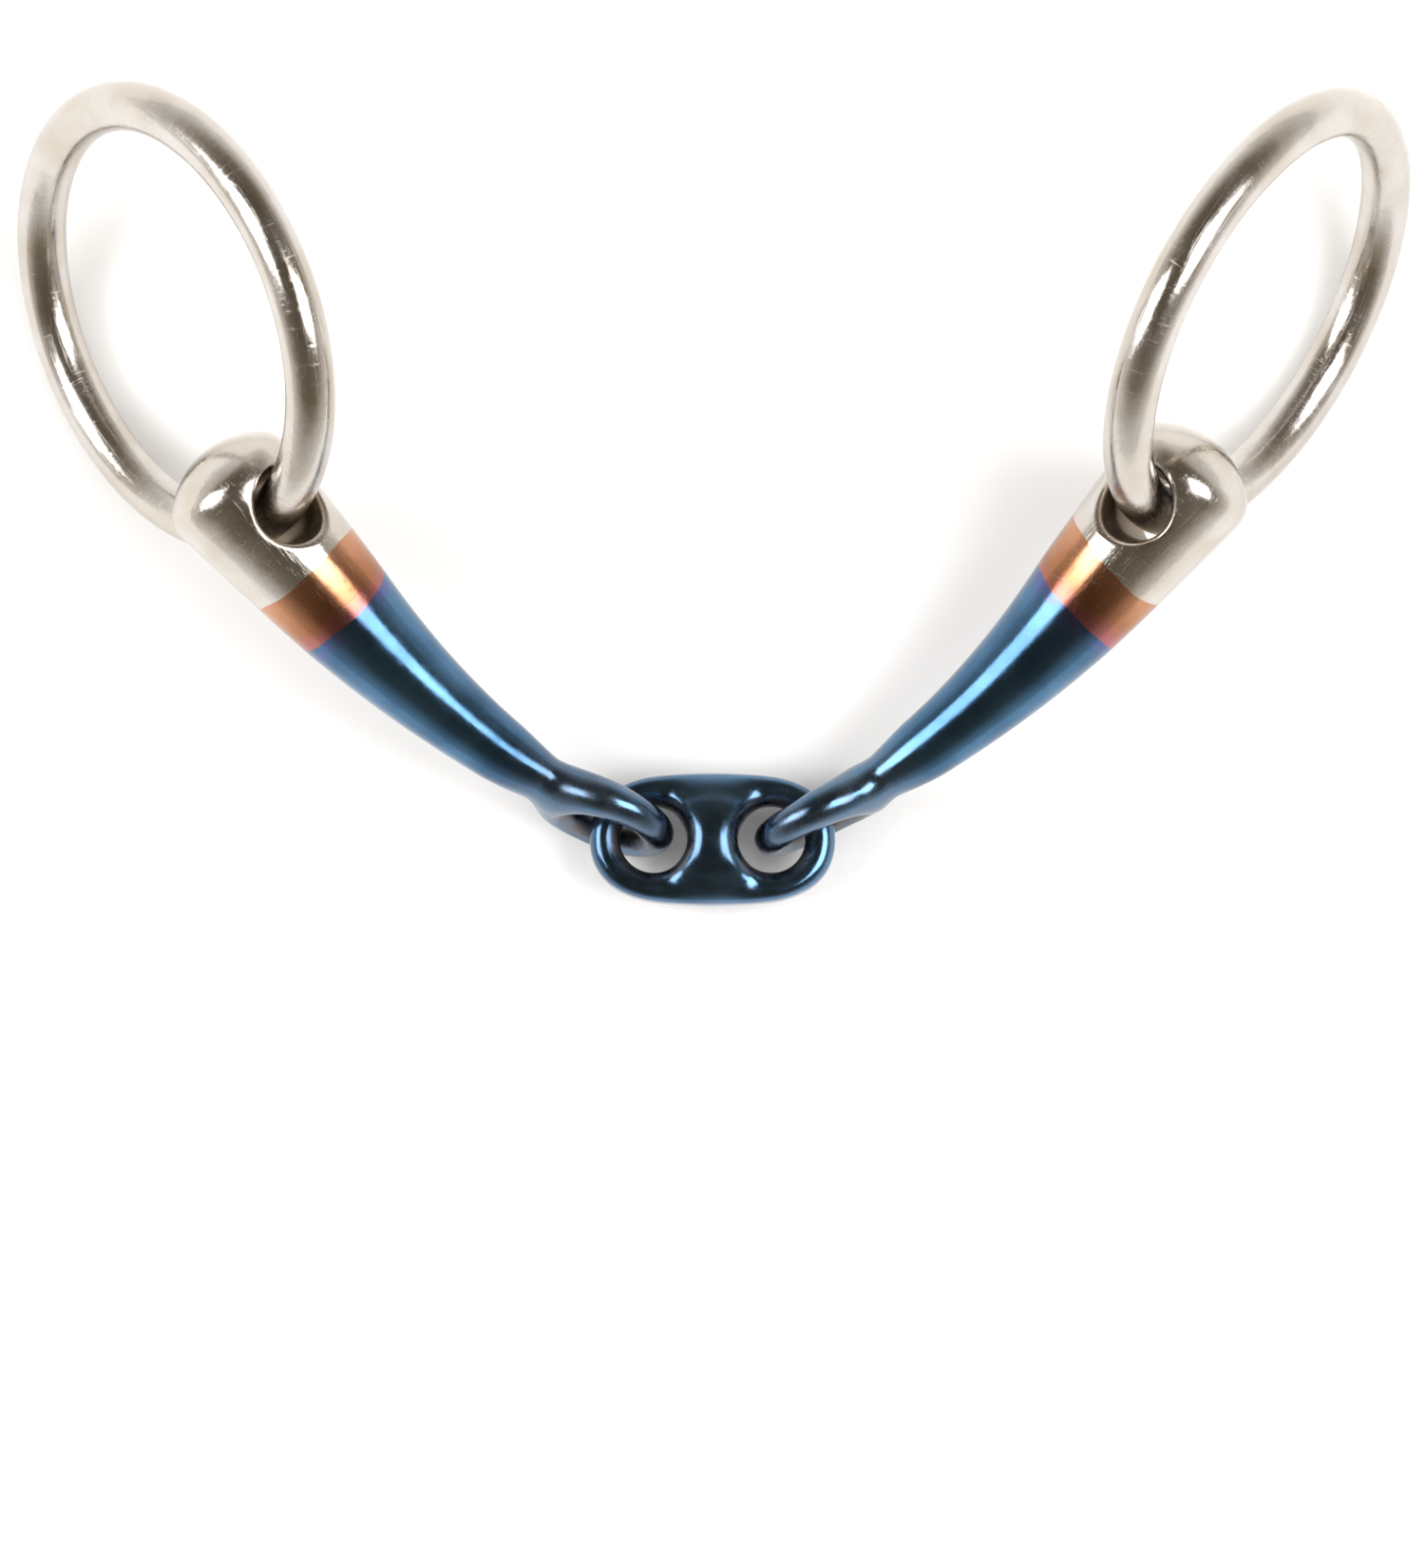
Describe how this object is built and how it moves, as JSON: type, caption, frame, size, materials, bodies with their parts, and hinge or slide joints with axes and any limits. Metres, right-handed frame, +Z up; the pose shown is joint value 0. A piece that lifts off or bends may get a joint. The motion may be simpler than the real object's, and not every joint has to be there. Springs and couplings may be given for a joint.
{
  "type": "snaffle bit",
  "caption": "Loose-ring double-jointed snaffle bit: curved tapered cannons with steel ends and copper collars, joined by a rounded lozenge link.",
  "frame": {"origin": "on the surface the bit rests on, straight below the middle of the centre link", "axes": "+X along the link from the left cannon to the right, +Y from the link towards the rings, +Z up"},
  "size_m": [0.1638, 0.0952, 0.0516],
  "materials": {
    "blued_iron": "heat-blued sweet iron, polished, dark navy with steel-blue edges",
    "copper": "polished copper, heat-tinted brown to pink",
    "steel": "polished stainless steel, warm tone with fine scratches"
  },
  "bodies": {
    "centre_link": {"centre_link": "blued_iron"},
    "left_cannon": {"left_cannon_bar": "blued_iron", "left_copper_collar": "copper", "left_steel_end": "steel"},
    "right_cannon": {"right_cannon_bar": "blued_iron", "right_copper_collar": "copper", "right_steel_end": "steel"},
    "left_ring": {"left_ring": "steel"},
    "right_ring": {"right_ring": "steel"}
  },
  "joints": [
    {"name": "left_fold", "type": "hinge", "parent": "centre_link", "child": "left_cannon", "pos_m": [-0.0074, 0, 0.00615], "axis": [0, 0, 1], "range_deg": [-8, 95]},
    {"name": "right_fold", "type": "hinge", "parent": "centre_link", "child": "right_cannon", "pos_m": [0.0074, 0, 0.00615], "axis": [0, 0, -1], "range_deg": [-8, 95]},
    {"name": "left_ring_swing", "type": "hinge", "parent": "left_cannon", "child": "left_ring", "pos_m": [-0.05212, 0.037, 0.02401], "axis": [0.5225, 0.2362, 0.8193], "range_deg": [-138, 190]},
    {"name": "right_ring_swing", "type": "hinge", "parent": "right_cannon", "child": "right_ring", "pos_m": [0.05157, 0.03813, 0.02299], "axis": [0.432, -0.1048, -0.8958], "range_deg": [-148, 190]}
  ]
}
